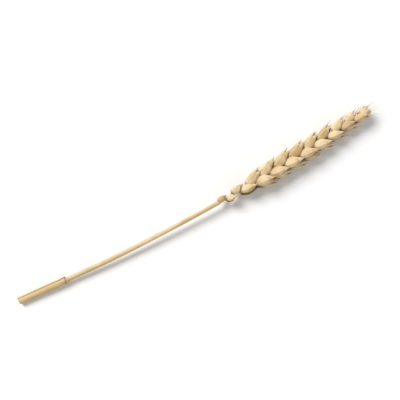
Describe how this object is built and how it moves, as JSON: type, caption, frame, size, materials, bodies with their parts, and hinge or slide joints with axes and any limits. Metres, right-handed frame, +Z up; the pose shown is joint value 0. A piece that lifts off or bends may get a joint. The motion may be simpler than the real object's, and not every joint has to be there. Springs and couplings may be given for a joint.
{
  "type": "wheat ear",
  "caption": "Dried wheat ear on its own cut stem, lying flat: overlapping straw-coloured spikelets with short awnlets on a slender hollow stem, with a leaf sheath at the cut end.",
  "frame": {"origin": "middle of the underside of the whole part, on the surface it lies on", "axes": "+X along the stem from its cut end to the tip of the ear; +Y across the two rows of spikelets; +Z up, away from the surface"},
  "size_m": [0.209, 0.0176, 0.0099],
  "materials": {
    "culm": "satin",
    "sheath": "matte",
    "glume": "matte",
    "lemma": "matte"
  },
  "bodies": {
    "root": {"culm_and_rachis": "culm", "flag_leaf_sheath": "sheath", "basal_spikelet_1": "glume", "basal_spikelet_2": "glume", "basal_spikelet_3": "glume", "spikelet_04_florets": "lemma", "spikelet_04_glume_left": "glume", "spikelet_04_glume_right": "glume", "spikelet_05_florets": "lemma", "spikelet_05_glume_left": "glume", "spikelet_05_glume_right": "glume", "spikelet_06_florets": "lemma", "spikelet_06_glume_left": "glume", "spikelet_06_glume_right": "glume", "spikelet_07_florets": "lemma", "spikelet_07_glume_left": "glume", "spikelet_07_glume_right": "glume", "spikelet_08_florets": "lemma", "spikelet_08_glume_left": "glume", "spikelet_08_glume_right": "glume", "spikelet_09_florets": "lemma", "spikelet_09_glume_left": "glume", "spikelet_09_glume_right": "glume", "spikelet_10_florets": "lemma", "spikelet_10_glume_left": "glume", "spikelet_10_glume_right": "glume", "spikelet_11_florets": "lemma", "spikelet_11_glume_left": "glume", "spikelet_11_glume_right": "glume", "spikelet_12_florets": "lemma", "spikelet_12_glume_left": "glume", "spikelet_12_glume_right": "glume", "spikelet_13_florets": "lemma", "spikelet_13_glume_left": "glume", "spikelet_13_glume_right": "glume", "spikelet_14_florets": "lemma", "spikelet_14_glume_left": "glume", "spikelet_14_glume_right": "glume", "spikelet_15_florets": "lemma", "spikelet_15_glume_left": "glume", "spikelet_15_glume_right": "glume", "spikelet_16_florets": "lemma", "spikelet_16_glume_left": "glume", "spikelet_16_glume_right": "glume", "spikelet_17_florets": "lemma", "spikelet_17_glume_left": "glume", "spikelet_17_glume_right": "glume", "spikelet_18_florets": "lemma", "spikelet_18_glume_left": "glume", "spikelet_18_glume_right": "glume", "spikelet_19_florets": "lemma", "spikelet_19_glume_left": "glume", "spikelet_19_glume_right": "glume", "spikelet_20_florets": "lemma", "spikelet_20_glume_left": "glume", "spikelet_20_glume_right": "glume", "terminal_spikelet_florets": "lemma", "terminal_spikelet_glume_left": "glume", "terminal_spikelet_glume_right": "glume"}
  },
  "joints": []
}
